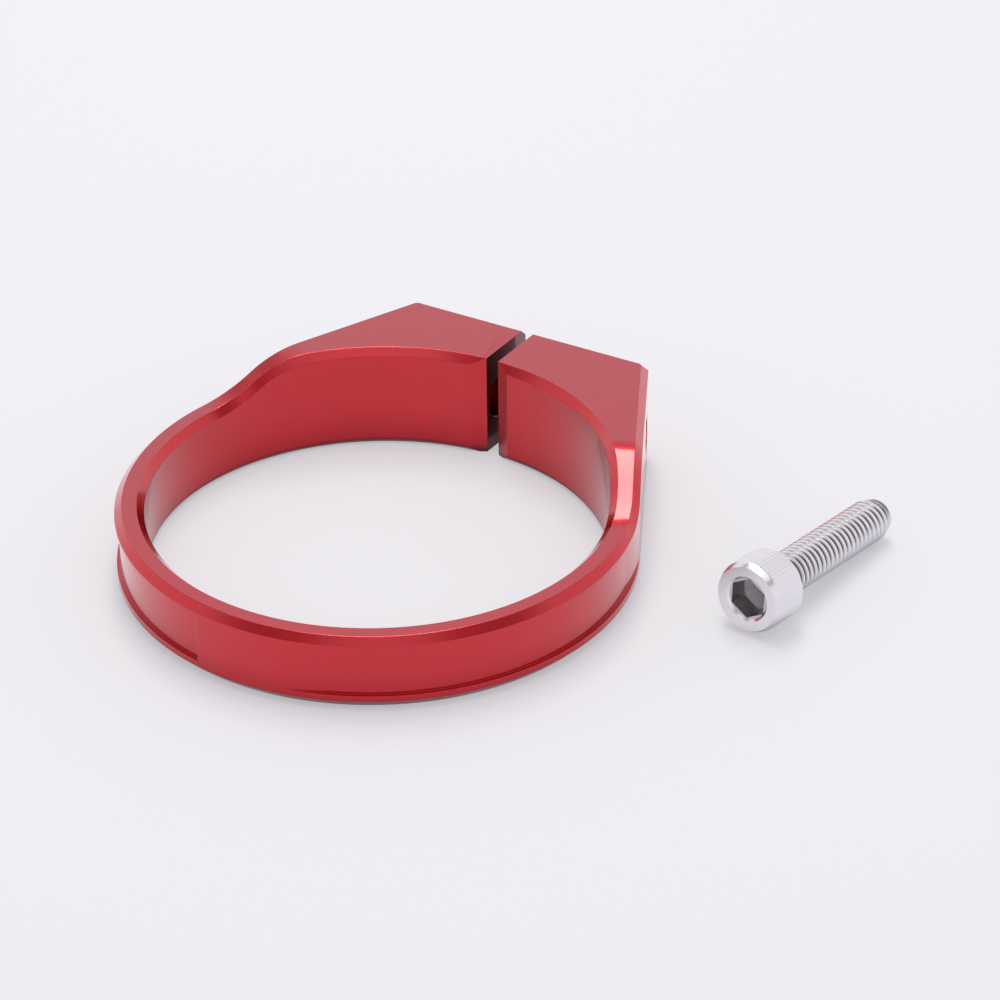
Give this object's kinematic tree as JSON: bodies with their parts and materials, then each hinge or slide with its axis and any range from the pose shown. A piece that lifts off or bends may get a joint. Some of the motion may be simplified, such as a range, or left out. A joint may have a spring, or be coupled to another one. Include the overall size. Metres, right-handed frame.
{
  "type": "steerer tube clamp",
  "caption": "Split ring clamp with chamfered edges that rises in two ramps to a pair of jaws, with its cap screw taken out and lying beside it.",
  "frame": {"origin": "on the bore's axis, in the plane of the clamp's underside", "axes": "+Z along the bore's axis, up from the underside; +Y from the bore's axis to the slot between the jaws; +X to the right jaw, the one with the tapped hole, and towards the loose screw"},
  "size_m": [0.0927, 0.0769, 0.015],
  "materials": {
    "red_anodised": "red anodised over fine turning marks, semi-gloss",
    "plain_steel": "bare stainless, knurled head and rolled thread"
  },
  "bodies": {
    "root": {"clamp_body": "red_anodised", "clamp_screw": "plain_steel"}
  },
  "joints": []
}
